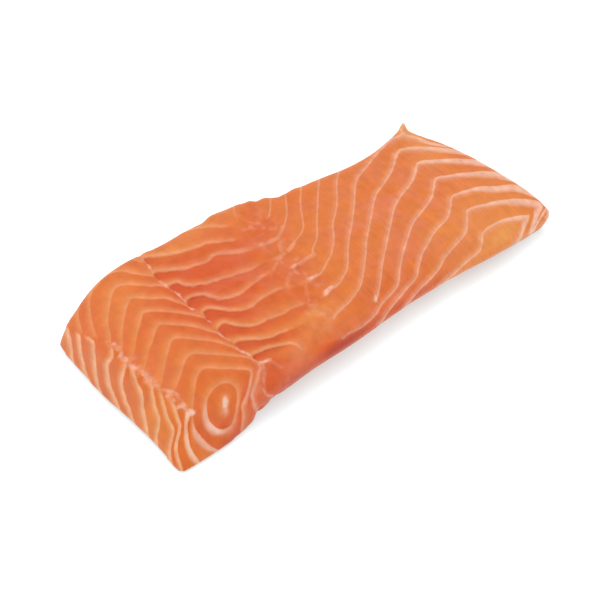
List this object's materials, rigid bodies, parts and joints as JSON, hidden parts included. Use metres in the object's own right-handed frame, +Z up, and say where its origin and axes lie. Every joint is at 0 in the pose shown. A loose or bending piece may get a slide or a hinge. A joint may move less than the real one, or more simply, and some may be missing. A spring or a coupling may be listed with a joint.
{
  "type": "raw salmon portion",
  "caption": "Raw skinless salmon portion: a thick strip of fillet with fat lines, a seam groove and a thin belly end, lying flat.",
  "frame": {"origin": "centre of the portion's box, on the surface it rests on", "axes": "+X along the portion from the thick end to the thin belly end, +Y towards the back long side, +Z up"},
  "size_m": [0.149, 0.0648, 0.0203],
  "materials": {
    "salmon_flesh": "moist raw orange-pink flesh with pale fat lines, satin sheen"
  },
  "bodies": {
    "root": {"salmon_portion": "salmon_flesh"}
  },
  "joints": []
}
